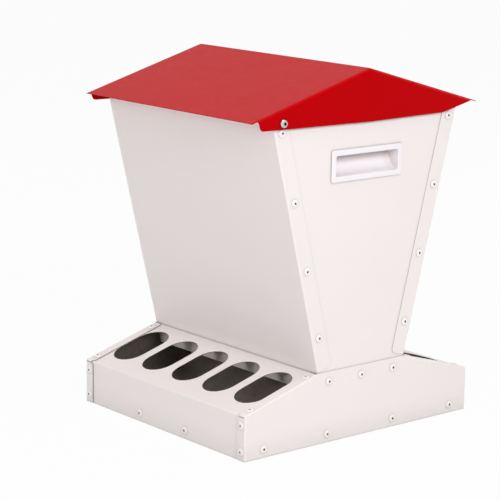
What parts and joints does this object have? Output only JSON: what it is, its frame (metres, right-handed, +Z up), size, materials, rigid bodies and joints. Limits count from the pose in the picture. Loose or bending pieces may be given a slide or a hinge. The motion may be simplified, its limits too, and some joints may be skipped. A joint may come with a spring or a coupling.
{
  "type": "poultry feeder",
  "caption": "Gravity hopper feeder in folded sheet metal: a tapered hopper on a low base with feed holes along both sloping sides, and a gabled roof that lifts on side pivots.",
  "frame": {"origin": "centre of the underside of the base", "axes": "+Z up, -Y the front that the picture shows, X along the rows of feed holes"},
  "size_m": [0.4598, 0.5074, 0.619],
  "materials": {
    "white_paint": "smooth satin powder coat, warm off-white",
    "rivet_paint": "satin painted blind rivets",
    "roof_paint": "satin powder coat, signal red",
    "handle_plastic": "satin moulded plastic, cool white",
    "zinc": "galvanised sheet, dull",
    "screw_steel": "stainless, turned"
  },
  "bodies": {
    "feeder": {"base_floor": "zinc", "base_side_left": "white_paint", "base_side_right": "white_paint", "feed_divider": "zinc", "handle_left": "handle_plastic", "handle_right": "handle_plastic", "hopper_front": "white_paint", "hopper_rear": "white_paint", "hopper_side_left": "white_paint", "hopper_side_right": "white_paint", "pivot_nut_left": "zinc", "pivot_nut_right": "zinc", "pivot_screw_left": "screw_steel", "pivot_screw_right": "screw_steel", "pivot_spacer_left": "zinc", "pivot_spacer_right": "zinc", "pivot_washer_left": "zinc", "pivot_washer_right": "zinc", "rivet_hopper_left_front_1": "rivet_paint", "rivet_hopper_left_front_2": "rivet_paint", "rivet_hopper_left_front_3": "rivet_paint", "rivet_hopper_left_front_4": "rivet_paint", "rivet_hopper_left_rear_1": "rivet_paint", "rivet_hopper_left_rear_2": "rivet_paint", "rivet_hopper_left_rear_3": "rivet_paint", "rivet_hopper_left_rear_4": "rivet_paint", "rivet_hopper_right_front_1": "rivet_paint", "rivet_hopper_right_front_2": "rivet_paint", "rivet_hopper_right_front_3": "rivet_paint", "rivet_hopper_right_front_4": "rivet_paint", "rivet_hopper_right_rear_1": "rivet_paint", "rivet_hopper_right_rear_2": "rivet_paint", "rivet_hopper_right_rear_3": "rivet_paint", "rivet_hopper_right_rear_4": "rivet_paint", "rivet_pan_front_1": "rivet_paint", "rivet_pan_front_2": "rivet_paint", "rivet_pan_left_1": "rivet_paint", "rivet_pan_left_2": "rivet_paint", "rivet_pan_left_3": "rivet_paint", "rivet_pan_left_4": "rivet_paint", "rivet_pan_rear_1": "rivet_paint", "rivet_pan_rear_2": "rivet_paint", "rivet_pan_right_1": "rivet_paint", "rivet_pan_right_2": "rivet_paint", "rivet_pan_right_3": "rivet_paint", "rivet_pan_right_4": "rivet_paint", "rivet_shoulder_left_1": "rivet_paint", "rivet_shoulder_left_2": "rivet_paint", "rivet_shoulder_left_3": "rivet_paint", "rivet_shoulder_right_1": "rivet_paint", "rivet_shoulder_right_2": "rivet_paint", "rivet_shoulder_right_3": "rivet_paint", "trough_panel_front": "white_paint", "trough_panel_rear": "white_paint"},
    "roof": {"roof": "roof_paint"}
  },
  "joints": [
    {"name": "roof_lift", "type": "hinge", "parent": "feeder", "child": "roof", "pos_m": [0, -0.18696, 0.5436], "axis": [1, 0, 0], "range_deg": [0, 90]}
  ]
}
